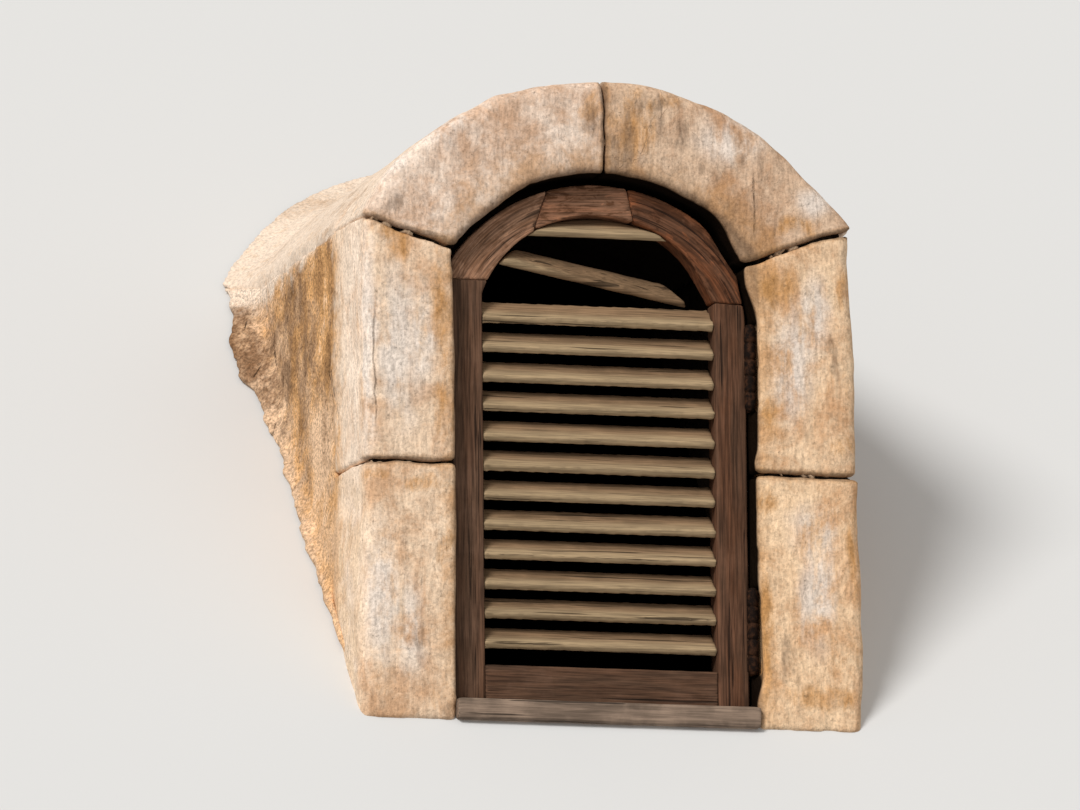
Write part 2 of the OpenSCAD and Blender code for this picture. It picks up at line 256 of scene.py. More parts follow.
class Form:
    """A piece's mesh as arrays, which can be smoothed and pushed about."""

    def __init__(self, mesh):
        self.mesh = mesh
        self.points = np.empty(len(mesh.vertices) * 3)
        mesh.vertices.foreach_get("co", self.points)
        self.points = self.points.reshape(-1, 3)
        edges = np.empty(len(mesh.edges) * 2, dtype=np.int64)
        mesh.edges.foreach_get("vertices", edges)
        self.ends = edges.reshape(-1, 2).T

    def smooth(self, rounds, strength):
        """Evens the mesh out, by one strength or by one for each point."""
        a, b = self.ends
        strength = np.reshape(strength, (-1, 1))
        n = len(self.points)
        count = (np.bincount(a, minlength=n) + np.bincount(b, minlength=n))[:, None]
        for _ in range(rounds):
            near = np.stack([
                np.bincount(a, self.points[b, k], n) + np.bincount(b, self.points[a, k], n)
                for k in range(3)], axis=1)
            self.points += (near / count - self.points) * strength

    def near(self, marks, rounds, keep):
        """Spreads marks over the mesh, each step weakened to keep times the last."""
        a, b = self.ends
        for _ in range(rounds):
            out = marks.copy()
            np.maximum.at(out, a, marks[b] * keep)
            np.maximum.at(out, b, marks[a] * keep)
            marks = out
        return marks

    def normals(self):
        self.store()
        out = np.empty(len(self.points) * 3)
        self.mesh.vertices.foreach_get("normal", out)
        return out.reshape(-1, 3)

    def swell(self, heights):
        self.points += self.normals() * np.asarray(heights)[:, None]

    def store(self):
        self.mesh.vertices.foreach_set("co", self.points.ravel())
        self.mesh.update()

    def paint(self, name, values):
        """Keeps a number from 0 to 1 at each point, which a material reads by name."""
        layer = self.mesh.attributes.new(name, "FLOAT", "POINT")
        layer.data.foreach_set("value", np.clip(values, 0, 1).astype(np.float32))


def board_axes(mesh):
    """Length, breadth and thickness of a straight board, as the rows of a rotation."""
    broad = max(mesh.polygons, key=lambda face: face.area).normal.normalized()
    ends = [mesh.vertices[i].co for edge in mesh.edges for i in edge.vertices]
    long = max((b - a for a, b in zip(ends[::2], ends[1::2])), key=lambda v: v.length)
    long = (long - broad * long.dot(broad)).normalized()
    return Matrix((long, broad.cross(long), broad))


def new_object(name, solid):
    """A new object in the scene, from a mesh in the making."""
    mesh = bpy.data.meshes.new(name)
    solid.to_mesh(mesh)
    solid.free()
    made = bpy.data.objects.new(name, mesh)
    bpy.context.scene.collection.objects.link(made)
    return made


def even_copy(nodes, pitch, axes=None):
    """A new object of the form of one or more solids on one even mesh, laid out along the given axes."""
    solid = bmesh.new()
    for name in nodes:
        solid.from_mesh(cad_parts[name].data)
    bmesh.ops.remove_doubles(solid, verts=solid.verts, dist=1e-6)
    bmesh.ops.recalc_face_normals(solid, faces=solid.faces)
    piece = new_object("dressed_" + nodes[0], solid)
    plain = piece.data
    # Half a pitch off, because a flat face that lies right on the grid comes out notched
    turn = Matrix.Translation((pitch / 2,) * 3) @ (axes or Matrix.Identity(3)).to_4x4()
    plain.transform(turn)
    remesh = piece.modifiers.new("Even mesh", "REMESH")
    remesh.mode = "VOXEL"
    remesh.voxel_size = pitch
    piece.data = bpy.data.meshes.new_from_object(
        piece.evaluated_get(bpy.context.evaluated_depsgraph_get()))
    piece.modifiers.clear()
    bpy.data.meshes.remove(plain)
    if not piece.data.polygons:
        raise RuntimeError(f"the mesh of {piece.name} came out empty")
    piece.data.transform(turn.inverted())
    piece.data.name = piece.name
    return piece


def worn_form(piece, rounds, pitch, firm=None):
    """Smooths a piece. Returns its form and how far each point lay out on an arris, from 0 to 1.

    The function firm gives how firm each point stays, from 0 to 1."""
    form = Form(piece.data)
    before = form.points.copy()
    form.smooth(rounds, 0.5 if firm is None else 0.5 * (1 - firm(before)))
    wear = np.linalg.norm(form.points - before, axis=1) / (pitch * math.sqrt(rounds) * 0.55)
    return form, np.clip(wear, 0, 1)


def above_seat(points):
    """Height of each point off the sloping seat that the part stands on."""
    return points[:, 2] * math.cos(SEAT_SLOPE) - points[:, 1] * math.sin(SEAT_SLOPE)


def trowelled(points, relief):
    """Unevenness of the plaster, which runs on from piece to piece and fades out at the seat."""
    rough = lumps(points, 0.07, 100, 3, (1, 1, 1.5)) + lumps(points, 0.016, 105, 3) * 0.45
    return rough * relief * (0.15 + 0.85 * step(above_seat(points), 0.0, 0.025))


def covered_edge(points):
    """Where the plaster laps the stones, it keeps its edge."""
    return step(points[:, 1], STONE_DEPTH + 0.012, STONE_DEPTH + 0.004)


def plastered_form(nodes, look):
    """A wall with its fillet along the seat as one piece: trowelled, and lapped a little over the stones."""
    piece = even_copy(nodes, look.mesh_pitch, SEAT_TURN)
    form = worn_form(piece, 4, look.mesh_pitch, covered_edge)[0]
    form.swell(trowelled(form.points, look.trowel_relief))
    lap = step(form.points[:, 1], STONE_DEPTH + 0.006, STONE_DEPTH + 0.001)
    form.points[:, 1] -= lap * step(above_seat(form.points), 0.010, 0.025) * 0.010
    form.points += form.normals() * 0.0004
    return piece, form


def settle(piece, finish, slot, *nodes):
    """Gives a piece its finish and smooth shading, hides the solids that it stands for and hangs it under the
    root. Its slot is not used.
    """
    piece.data.materials.clear()
    piece.data.materials.append(finish)
    piece.data.shade_smooth()
    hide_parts(*nodes)
    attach(piece, "root")


class Value:
    """A socket that gives a number, a vector or a colour. Sums and products on it add Math nodes."""

    def __init__(self, finish, socket):
        self.finish, self.socket = finish, socket

    def math(self, operation, *values):
        return self.finish.node("ShaderNodeMath", {"operation": operation}, dict(enumerate(values)))

    def __add__(self, other):
        return self.math("ADD", self, other)

    def __sub__(self, other):
        return self.math("SUBTRACT", self, other)

    def __rsub__(self, other):
        return self.math("SUBTRACT", other, self)

    def __mul__(self, other):
        return self.math("MULTIPLY", self, other)

    __radd__, __rmul__ = __add__, __mul__

    def __abs__(self):
        return self.math("ABSOLUTE", self)

    def most(self, other):
        return self.math("MAXIMUM", self, other)

    def swing(self, amount):
        """A noise centred on 0, times an amount."""
        return (self - 0.5) * amount

    def rise(self, low, high):
        """0 at low and 1 at high, with a smooth rise between. With low above high it falls."""
        settings = {"interpolation_type": "SMOOTHSTEP", "clamp": True}
        if low > high:
            return 1 - self.rise(high, low)
        return self.finish.node("ShaderNodeMapRange", settings, {0: self, 1: low, 2: high})


class Finish:
    """The nodes of a procedural material, or of the world."""

    def __init__(self, name, world=False):
        self.block = (bpy.data.worlds if world else bpy.data.materials).new(name)
        self.block.use_nodes = True
        self.tree = self.block.node_tree
        self.tree.nodes.clear()

    def node(self, kind, settings=None, sockets=None, output=0):
        """Adds a node: its type, its settings, the values or links of its sockets. Gives one output."""
        made = self.tree.nodes.new(kind)
        for key, value in (settings or {}).items():
            setattr(made, key, value)
        for key, value in (sockets or {}).items():
            if isinstance(value, Value):
                self.tree.links.new(value.socket, made.inputs[key])
            elif isinstance(value, (tuple, list)) and made.inputs[key].type == "RGBA":
                made.inputs[key].default_value = (*value[:3], 1)
            else:
                made.inputs[key].default_value = value
        return Value(self, made.outputs[output]) if made.outputs else None

    def place(self):
        """Position in the dormer's frame, in metres."""
        return self.node("ShaderNodeTexCoord", output="Object")

    def axes(self, vector):
        """The three numbers of a position."""
        split = self.node("ShaderNodeSeparateXYZ", {}, {0: vector}).socket.node
        return [Value(self, output) for output in split.outputs]

    def stretched(self, vector, scale, shift=(0, 0, 0), turn=(0, 0, 0)):
        """Turns a position, then scales it along each axis, then shifts it."""
        if any(turn):
            settings = {"rotation_type": "EULER_XYZ"}
            vector = self.node("ShaderNodeVectorRotate", settings, {"Vector": vector, "Rotation": turn})
        return self.node(
            "ShaderNodeVectorMath", {"operation": "MULTIPLY_ADD"}, {0: vector, 1: scale, 2: shift})

    def noise(self, vector, scale, detail=4.0, rough=0.55, warp=0.0):
        return self.node("ShaderNodeTexNoise", {}, {
            "Vector": vector, "Scale": scale, "Detail": detail, "Roughness": rough, "Distortion": warp})

    def bent(self, vector, scale, amount):
        """A position pushed about by noise."""
        push = self.node("ShaderNodeTexNoise", {}, {"Vector": vector, "Scale": scale, "Detail": 3}, 1)
        return self.node(
            "ShaderNodeVectorMath", {"operation": "MULTIPLY_ADD"}, {0: push, 1: (amount,) * 3, 2: vector})

    def web(self, vector, scale):
        """Distance from the nearest thread of an uneven net."""
        settings = {"feature": "DISTANCE_TO_EDGE"}
        return self.node("ShaderNodeTexVoronoi", settings, {"Vector": vector, "Scale": scale}, "Distance")

    def painted(self, name):
        return self.node("ShaderNodeAttribute", {"attribute_name": name}, output="Fac")

    def mix(self, factor, low, high):
        settings = {"data_type": "RGBA", "clamp_factor": True}
        return self.node("ShaderNodeMix", settings, {0: factor, 6: low, 7: high}, 2)

    def layered(self, colour, *layers):
        """Lays colours over the first one. A layer is how much it covers, then its colour."""
        for cover, layer in layers:
            colour = self.mix(cover, colour, layer)
        return colour

    def times(self, colour, factor):
        """A colour made darker or lighter by a number."""
        return self.node("ShaderNodeVectorMath", {"operation": "SCALE"}, {0: colour, "Scale": factor})

    def bump(self, height, depth, strength=1.0):
        return self.node("ShaderNodeBump", {}, {"Height": height, "Distance": depth, "Strength": strength})

    def surface(self, colour, roughness, bump, metallic=0.0, specular=0.0):
        shader = self.node("ShaderNodeBsdfPrincipled", {}, {
            "Base Color": colour, "Roughness": roughness, "Metallic": metallic,
            "Specular IOR Level": specular, "Normal": bump})
        self.node("ShaderNodeOutputMaterial", {}, {"Surface": shader})
        return self.block


def tinted(colour, factor, warmth=0.0):
    """A colour made lighter or darker, and warmer or cooler, by numbers."""
    return tuple(min(1.0, c * factor * (1 + warmth * (1 - k))) for k, c in enumerate(colour))


def between(first, second, part):
    """A colour that lies part of the way from the first to the second."""
    return tuple(a * (1 - part) + b * part for a, b in zip(first, second))


def round_axis(f, x, z, height):
    """Distance from an axis that runs from front to back at a height."""
    across = f.node("ShaderNodeCombineXYZ", {}, {0: x, 2: z - height})
    return f.node("ShaderNodeVectorMath", {"operation": "LENGTH"}, {0: across}, "Value")


def plaster_colour(f, place, look, pale):
    """Colour of the plaster and the strength of its cracks: pale on the vault, streaked ochre below, with
    painted shade high at the back near the roof.
    """
    x, y, z = f.axes(place)
    patches = f.noise(place, 12, 5, 0.6, 0.5)
    lumpy = f.noise(place, 85, 6, 0.65)
    grit = f.noise(place, 260, 4, 0.7)
    grey = f.noise(f.stretched(place, (1, 0.7, 1), (6, 3, 8)), 38, 5, 0.65, 0.4) + lumpy.swing(0.35)
    cream = f.layered(
        look.pale[:],
        (patches.rise(0.35, 0.7), tinted(look.pale, 0.88, 0.02)),
        (lumpy.rise(0.50, 0.70) * 0.24, look.ochre[:]),
        ((patches + grit.swing(0.5)).rise(0.54, 0.72) * 0.34, tinted(look.ochre, 0.7)),
        (grey.rise(0.54, 0.76) * 0.42, tinted(look.streak, 1.6, -0.1)))
    if pale:
        return cream, 0.0
    light = between(look.ochre, look.pale, 0.45)
    mortar = (abs(x) + lumpy.swing(0.014)).rise(HALF_WIDTH + 0.001, HALF_WIDTH + 0.010)
    crumbs = f.noise(place, 150, 5, 0.75)
    bent = f.noise(place, 34, 5, 0.65)
    high = z.rise(0.14, 0.38)
    runs = f.noise(f.stretched(place, (1, 1, 0.4)), 15, 3, 0.5, 0.8)
    runs = runs + bent.swing(0.45) + lumpy.swing(0.5) + grit.swing(0.2) + f.painted("dirt") * 0.19
    # Painted shade high up at the back of the cheek and on its fillet, where the roof shades them
    painted_roof_shade = (z + bent.swing(0.14)).rise(0.28, 0.37) * (mortar * 0.55 + y.rise(0.25, 0.35) * 0.45)
    web = f.web(f.stretched(place, (1, 1, 0.5)), 26)
    cracks = web.rise(0.022, 0.0) * bent.rise(0.54, 0.62) * high
    above = (z + y * 0.08 + bent.swing(0.06)).rise(SHOULDER, SHOULDER + 0.022)
    colour = f.layered(
        look.ochre[:],
        ((patches + lumpy.swing(0.4)).rise(0.36, 0.62), light),
        (z.rise(0.27, 0.08) * 0.65, between(look.ochre, look.pale, 0.26)),
        (mortar * 0.7, FILLET_MORTAR),
        (crumbs.rise(0.53, 0.68) * (mortar * 0.3 + 0.35), tinted(look.streak, 1.1)),
        (runs.rise(0.43, 0.68) * (high * 0.5 + 0.14), look.streak[:]),
        (runs.rise(0.62, 0.84) * high * 0.55, tinted(look.streak, 0.45, -0.1)),
        (runs.rise(0.48, 0.34) * 0.8, tinted(light, 1.12)),
        (grit.rise(0.55, 0.67) * (high * 0.2 + 0.45), tinted(look.streak, 0.8)),
        # Painted shade near the roof, in the colour of the streaks
        (painted_roof_shade * (lumpy.rise(0.35, 0.6) * 0.35 + 0.30), tinted(look.streak, 0.85)),
        (cracks * 0.8, CRACK_DIRT),
        (above, cream))
    return colour, cracks


# Amount of staining, tone, then spots at (x, z, half width, half height) in millimetres, and the
# hairline crack at (x, lowest z, highest z)
STONE_LOOKS = {
    "jamb_left_lower": (0.0, (1.06, 1.04, 1.0), {
        "stain": [(-214, 220, 30, 12), (-176, 216, 26, 9), (-151, 152, 9, 26), (-156, 18, 16, 20),
                  (-212, 32, 14, 15)],
        "lime": [(-210, 110, 20, 64), (-186, 84, 16, 44)]}),
    "jamb_left_upper": (0.0, (1.01, 0.98, 0.94), {
        "stain": [(-153, 374, 11, 60), (-188, 434, 16, 20), (-200, 448, 34, 9), (-156, 284, 9, 28)],
        "lime": [(-222, 345, 10, 110), (-194, 340, 16, 76), (-174, 350, 12, 50)],
        "hairline": (-216, 262, 385)}),
    "jamb_right_lower": (0.04, (1.06, 0.98, 0.85), {
        "stain": [(156, 208, 16, 16), (232, 158, 8, 46), (200, 34, 44, 15), (152, 90, 7, 60)],
        "lime": [(194, 180, 20, 26), (196, 126, 16, 46)],
        "dirt": [(173, 66, 7, 20)]}),
    "jamb_right_upper": (0.05, (1.02, 0.95, 0.84), {
        "stain": [(157, 408, 18, 22), (154, 288, 11, 28), (222, 262, 14, 13), (224, 410, 8, 26)],
        "lime": [(177, 334, 20, 48), (196, 384, 16, 36)],
        "dirt": [(215, 347, 7, 22)]}),
    "arch_stone_left": (-0.02, (1.04, 1.10, 1.22), {
        "stain": [(-14, 556, 16, 34)],
        "lime": [(-154, 550, 30, 22), (-196, 512, 14, 12)],
        "dirt": [(-196, 471, 16, 12), (-12, 562, 6, 30)]}),
    "arch_stone_right": (0.0, (0.82, 0.76, 0.715), {
        "stain": [(24, 556, 30, 38), (58, 574, 30, 12), (182, 462, 26, 10)],
        "lime": [(122, 540, 30, 22), (200, 484, 18, 12)],
        "dirt": [(12, 526, 9, 20), (62, 540, 30, 16), (34, 572, 30, 12), (18, 545, 10, 40),
                 (132, 520, 6, 6), (86, 508, 20, 10)],
        "hairline": (141, 446, 523)}),
}


def stone_noises(f, moved):
    """The noises that a stone's colour and relief are made from, mostly from broad to fine."""
    n = SimpleNamespace()
    n.patches = f.noise(moved, 17, 6, 0.62, 0.6)
    n.wash = f.noise(f.stretched(moved, (1, 1, 0.6), (4, 4, 4)), 28, 6, 0.66, 0.8)
    n.blotches = f.noise(moved, 62, 6, 0.66, 0.3)
    n.clouds = n.patches + n.blotches.swing(0.5)
    n.streaks = f.noise(f.stretched(moved, (1, 1, 0.25), (9, 2, 5)), 66, 5, 0.66) + f.painted("dirt") * 0.22
    n.flecks = f.noise(moved, 170, 5, 0.70)
    tooling = f.noise(f.stretched(moved, (1, 1, 0.2)), 300, 4, 0.65)
    n.grains = f.noise(moved, 340, 5, 0.70) * 0.6 + tooling * 0.4
    return n


def stone_cracks(f, n, moved, x, z, arch, hairline):
    """Fine cracks, more of them in the arch, and one upright hairline where the stone has it."""
    web = f.web(f.bent(f.stretched(moved, (1, 1, 0.7), (2, 7, 1)), 40, 0.05), 19)
    cracks = web.rise(0.016, 0.0) * n.clouds.rise(0.52, 0.62) * (0.30 if arch else 0.12)
    if hairline:
        at, low, high = (c / 1000 for c in hairline)
        line = abs(x + n.patches.swing(0.012) + n.flecks.swing(0.003) - at).rise(0.0012, 0.0003)
        line = line * z.rise(low, low + 0.02) * z.rise(high, high - 0.02) * n.flecks.rise(0.3, 0.6)
        cracks = cracks.most(line)
    return cracks


def stone_face(f, n, moved, look, pale, warm, stain, cracks):
    """Colour of a stone's face: weathered patches, lime runs, ochre stains, dirt, soot along the joints."""
    runs = f.noise(f.stretched(moved, (1, 1, 0.16)), 70, 5, 0.6, 0.4)
    lime = f.painted("lime") * (runs + n.clouds).rise(0.76, 1.14)
    stains = f.noise(f.stretched(moved, (1, 1, 0.35)), 36, 6, 0.66, 0.5)
    stains = stains + f.painted("stain") * 0.26 + f.painted("wear") * 0.05
    joint = f.painted("joint") + n.blotches.swing(0.5)
    return f.layered(
        warm,
        (n.clouds.rise(0.32, 0.62), pale),
        (n.wash.rise(0.48, 0.66) * 0.55, tinted(warm, 0.74, 0.12)),
        ((n.wash + n.blotches.swing(0.6)).rise(0.46, 0.30) * 0.5, tinted(pale, 1.10)),
        (n.blotches.rise(0.50, 0.68) * 0.36, tinted(warm, 0.72, 0.05)),
        (n.flecks.rise(0.53, 0.68) * 0.32, tinted(warm, 0.52, 0.1)),
        (lime * 0.85, look.lime[:]),
        (stains.rise(0.60 - stain, 0.88 - stain) * 0.8, look.ochre[:]),
        (stains.rise(0.76 - stain, 0.92 - stain) * 0.5, tinted(look.ochre, 0.5, 0.1)),
        (n.streaks.rise(0.58, 0.78) * 0.55, look.grime[:]),
        (joint.rise(0.35, 0.95) * 0.32, tinted(look.ochre, 0.8)),
        (joint.rise(0.75, 1.0) * 0.5, tinted(look.grime, 0.5)),
        (cracks * 0.65, tinted(look.grime, 0.6)))


def arch_zones(f, n, x, y, z):
    """Parts of an arch stone, each from 0 to 1: damp and brown bands, sooty rim, the reveal that takes
    painted shade, plastered flank.
    """
    radius = round_axis(f, x, z, INTRADOS_HEIGHT)
    outer = round_axis(f, x, z, EXTRADOS_HEIGHT).rise(EXTRADOS_RADIUS - 0.016, EXTRADOS_RADIUS - 0.008)
    return SimpleNamespace(
        damp=(radius + n.blotches.swing(0.03)).rise(INTRADOS_RADIUS + 0.024, INTRADOS_RADIUS + 0.003),
        brown=(radius + n.clouds.swing(0.09)).rise(INTRADOS_RADIUS + 0.036, INTRADOS_RADIUS) * 0.6,
        rim=(radius + n.blotches.swing(0.012)).rise(INTRADOS_RADIUS + 0.008, INTRADOS_RADIUS),
        reveal=radius.rise(INTRADOS_RADIUS + 0.007, INTRADOS_RADIUS + 0.003),
        flank=outer * (y + n.wash.swing(0.05)).rise(0.006, 0.024))


def jamb_zones(f, n, moved, x, y):
    """Parts of a jamb stone, each from 0 to 1: limewashed side, brown band, sooty rim, the reveal that takes
    painted shade, flank.
    """
    side = abs(x)
    outer = side.rise(HALF_WIDTH - 0.016, HALF_WIDTH - 0.008)
    depth = y + n.wash.swing(0.05)
    ragged = f.noise(moved, 45, 5, 0.6).swing(0.07)
    return SimpleNamespace(
        washed=outer * depth.rise(0.004, 0.020),
        brown=(side + n.clouds.swing(0.06)).rise(HALF_OPENING + 0.022, HALF_OPENING) * 0.6,
        rim=(side + n.blotches.swing(0.008)).rise(HALF_OPENING + 0.005, HALF_OPENING) * 0.7,
        reveal=side.rise(HALF_OPENING + 0.007, HALF_OPENING + 0.003),
        flank=outer * (depth + ragged).rise(0.066, 0.104))


def limewash(f, n, plaster, warm, y, z):
    """Colour of a jamb's limewashed side, sandier at its foot and towards the plaster."""
    sandy = z.rise(BED_JOINT + 0.02, BED_JOINT - 0.07) * n.clouds.rise(0.30, 0.60)
    return f.layered(
        tinted(plaster.pale, 1.16),
        (n.blotches.rise(0.42, 0.66) * 0.5, tinted(plaster.pale, 0.88)),
        (sandy * 0.55 + y.rise(0.03, 0.10) * 0.30, FLANK_SAND),
        (n.wash.rise(0.48, 0.66) * 0.45, tinted(warm, 1.05)),
        (n.streaks.rise(0.52, 0.72) * 0.35, tinted(plaster.ochre, 0.8)))


def stone_finish(name, look, plaster, seed):
    """Sandy stone: pale and weathered patches, ochre stains, lime runs, grains and pits."""
    stain, tone, places = STONE_LOOKS[name]
    arch = name.startswith("arch")
    pale, warm = (tuple(a * b for a, b in zip(colour, tone)) for colour in (look.pale, look.warm))
    f = Finish(name)
    place = f.place()
    x, y, z = f.axes(place)
    moved = f.stretched(place, (1, 1, 1), (seed * 1.7, seed * 0.9, seed * 2.3))
    n = stone_noises(f, moved)
    cracks = stone_cracks(f, n, moved, x, z, arch, places.get("hairline"))
    colour = stone_face(f, n, moved, look, pale, warm, stain, cracks)
    if arch:
        zones = arch_zones(f, n, x, y, z)
        colour = f.mix(zones.damp * 0.22, colour, look.grime[:])
    else:
        zones = jamb_zones(f, n, moved, x, y)
        colour = f.mix(zones.washed * 0.85, colour, limewash(f, n, plaster, warm, y, z))
    colour = f.layered(
        colour,
        (zones.brown * 0.55, tinted(look.ochre, 0.95, -0.05)),
        (zones.flank, plaster_colour(f, place, plaster, arch)[0]),
        (zones.rim * 0.6, tinted(look.grime, 0.7)),
        # Painted shade: the reveals inside the opening are made near black
        (zones.reveal * y.rise(0.002, 0.007), REVEAL_SHADE))
    colour = f.times(colour, n.grains.rise(0.30, 0.70) * 0.74 + 0.65)
    pits = n.flecks.rise(0.22, 0.36)
    relief = n.grains * 0.6 + pits * 0.5 + n.blotches * 1.6 + n.wash - cracks * 0.8
    return f.surface(colour, 0.95 - pits * 0.05, f.bump(relief, 0.0016, 0.8))


def spots(points, places, across=0):
    """How far each point lies in the soft-edged spots, from 0 to 1, with x or y as the first number."""
    total = np.zeros(len(points))
    bent = points + np.stack([lumps(points, 0.03, 40 + k, 3) for k in range(3)], axis=1) * 0.010
    for first, z, wide, tall in places:
        away = np.hypot((bent[:, across] * 1000 - first) / wide, (bent[:, 2] * 1000 - z) / tall)
        total = np.maximum(total, step(away, 1.5, 0.3))
    return total


def joint_distance(points):
    """Distance of each point from the nearest joint between stones, upright or along the face."""
    x, z = np.abs(points[:, 0]), points[:, 2]
    springer = SHOULDER - (HALF_WIDTH - x) * SPRINGER_FALL
    crown = np.where(z > springer + 0.02, x, 1.0)
    return np.minimum(np.minimum(np.abs(z - BED_JOINT), np.abs(z - springer)), crown)


def off_middle(points):
    """Distance of each point sideways from the opening's middle, and within the arch from its centre."""
    return np.hypot(points[:, 0], np.maximum(points[:, 2] - INTRADOS_HEIGHT, 0))


def ease_corner(points):
    """Draws the right shoulder of the opening in, where its arch turns into the jamb."""
    away = np.hypot(points[:, 0] - HALF_OPENING, points[:, 2] - (SHOULDER - 0.024))
    pull = step(away, 0.062, 0.004) * (points[:, 0] > 0)
    return pull[:, None] * np.array([-0.0078, 0, -0.0050])


def lean(points):
    """Leans the jambs: their front arrises stand a little further to the right than their backs."""
    x, y, z = points.T
    out = np.clip((np.abs(x) - HALF_OPENING) / (HALF_WIDTH - HALF_OPENING), 0, 1)
    front = step(y, 0.022, 0.006)
    # The right jamb's front near its foot, and its inner edge above the bed joint
    low = step(z, 0.20, 0.05) * step(z, 0.02, 0.05) * front
    inner = 0.003 * step(z, 0.245, 0.26) * step(z, 0.42, 0.37) * front
    right = 0.006 * step(z, 0.435, 0.395) + 0.004 * step(z, BED_JOINT + 0.001, BED_JOINT - 0.001)
    right = out * (right - 0.0035 * low) + 0.006 * low + inner * (1 - out)
    left = out * 0.006 * step(z, 0.02, 0.28) * step(z, 0.53, SHOULDER)
    shift = np.where(x > 0, right, left) * np.clip(1 - y / STONE_DEPTH, 0, 1)
    return shift[:, None] * np.array([1, 0, 0])


def wander(points):
    """A slow sway of the stones' faces and joints, which dies out at the opening and at the back."""
    free = step(off_middle(points), HALF_OPENING + 0.003, HALF_OPENING + 0.018)
    free *= step(points[:, 2], 0.01, 0.05)
    free *= step(points[:, 1], 0.09, 0.04)
    sway = [lumps(points, 0.05, 950, 3), np.zeros(len(points)), lumps(points, 0.05, 960, 3)]
    return np.stack(sway, axis=1) * free[:, None] * 0.0035


class DORMER_OT_stones(bpy.types.Operator):
    """Makes the jambs and arch stones: hewn faces, worn and chipped arrises"""

    bl_idname = "dormer.stones"
    bl_label = "Stones"

    def execute(self, context):
        look, plaster = context.scene.dormer_stone, context.scene.dormer_plaster
        for seed, (node, (_, _, places)) in enumerate(STONE_LOOKS.items(), 1):
            piece = even_copy((node,), look.mesh_pitch)
            form, wear = worn_form(piece, look.arris_rounds, look.mesh_pitch, self.firm)
            to_joint = joint_distance(form.points)
            form.swell(self.relief(form, wear, to_joint, seed, look, plaster))
            form.points += wander(form.points) + ease_corner(form.points) + lean(form.points)
            if node == "arch_stone_right":
                self.pull_ear(form)
            np.maximum(form.points[:, 2], 0, out=form.points[:, 2])
            form.store()
            form.paint("wear", wear)
            form.paint("joint", step(to_joint, 0.010, 0.003))
            for layer in ("stain", "lime", "dirt"):
                form.paint(layer, spots(form.points, places.get(layer, ())))
            settle(piece, stone_finish(node, look, plaster, seed), "dressed_stone", node)
        return {"FINISHED"}

    @staticmethod
    def firm(points):
        """Stone stays crisp along the joints and where the plaster covers its back edge."""
        return np.maximum(step(joint_distance(points), 0.012, 0.004) * 0.7,
                          step(points[:, 1], STONE_DEPTH - 0.015, STONE_DEPTH - 0.007))

    @staticmethod
    def relief(form, wear, to_joint, seed, look, plaster):
        """How far each point comes out: hewn faces, chips, mortar in the joints, plaster at the back."""
        p = form.points
        dents = lumps(p, 0.045, seed * 10, 3) * look.face_relief
        hewn = lumps(p, 0.012, seed * 10 + 4, 2, (1, 1, 2.5)) * 0.0005
        chips = step(lumps(p, 0.020, seed * 10 + 7, 3), 0.22, 0.60)
        chips = chips * form.near(wear, 8, 0.82) * look.chip_depth
        faces = dents + hewn - chips + 0.0008 * step(p[:, 2], 0.004, 0.02)
        walled = step(p[:, 1], STONE_DEPTH - 0.03, STONE_DEPTH - 0.005)
        filled = step(to_joint, 0.0060, 0.0030) * (
            0.0011 + 0.0010 * step(p[:, 1], 0.012, 0.05) + 0.0012 * lumps(p, 0.018, seed * 10 + 2, 2))
        return faces * (1 - walled) + trowelled(p, plaster.trowel_relief) * walled + filled

    @staticmethod
    def pull_ear(form):
        """The right arch stone runs out to a small ear beyond the jamb."""
        corner = np.array([HALF_WIDTH, 0, SHOULDER + 0.004])
        away = np.linalg.norm((form.points - corner) * (1, 0.25, 1), axis=1)
        form.points += step(away, 0.062, -0.004)[:, None] * np.array([0.006, 0, 0.003])


class DORMER_OT_joints(bpy.types.Operator):
    """Makes the crumbled mortar in the open joints"""

    bl_idname = "dormer.joints"
    bl_label = "Joints"

    def execute(self, context):
        f = Finish("joint_mortar")
        place = f.place()
        grit = f.noise(place, 420, 5, 0.7)
        colour = f.layered(
            JOINT_SOOT,
            (f.noise(place, 60, 4).rise(0.4, 0.65), JOINT_GREY),
            (f.painted("crumbs").rise(0.35, 0.75) * 0.85, JOINT_CRUMBS))
        colour = f.times(colour, grit.rise(0.3, 0.7) * 0.5 + 0.7)
        mortar = f.surface(colour, 0.95, f.bump(grit, 0.0012))
        for seed, node in enumerate(JOINTS):
            piece = even_copy((node,), MORTAR_MESH)
            form, wear = worn_form(piece, 3, MORTAR_MESH)
            form.swell(lumps(form.points, 0.006, 300 + seed * 9, 3) * 0.0012 - wear * 0.0008)
            self.set_back(form.points)
            crumbs = self.crumble(form.points, 330 + seed * 9)
            form.points += wander(form.points) + ease_corner(form.points) + lean(form.points)
            form.store()
            form.paint("crumbs", crumbs)
            settle(piece, mortar, "joint_mortar", node)
        return {"FINISHED"}

    @staticmethod
    def set_back(points):
        """Draws the mortar back from the edge of the opening, where the stones are worn."""
        up = np.maximum(points[:, 2] - INTRADOS_HEIGHT, 0)
        out = off_middle(points)
        edge = np.where(up > 0, INTRADOS_RADIUS, HALF_OPENING)
        shift = step(out, edge + 0.014, edge + 0.002) * 0.006
        points[:, 0] += points[:, 0] / out * shift
        points[:, 2] += up / out * shift

    @staticmethod
    def crumble(points, seed):
        """Brings crumbs of mortar forward, away from the opening. Returns where they are, from 0 to 1."""
        crumbs = step(lumps(points, 0.011, seed, 3), 0.04, 0.26) * step(off_middle(points), 0.150, 0.165)
        points[:, 1] -= crumbs * 0.0055 * step(points[:, 1], 0.012, 0.009)
        return crumbs


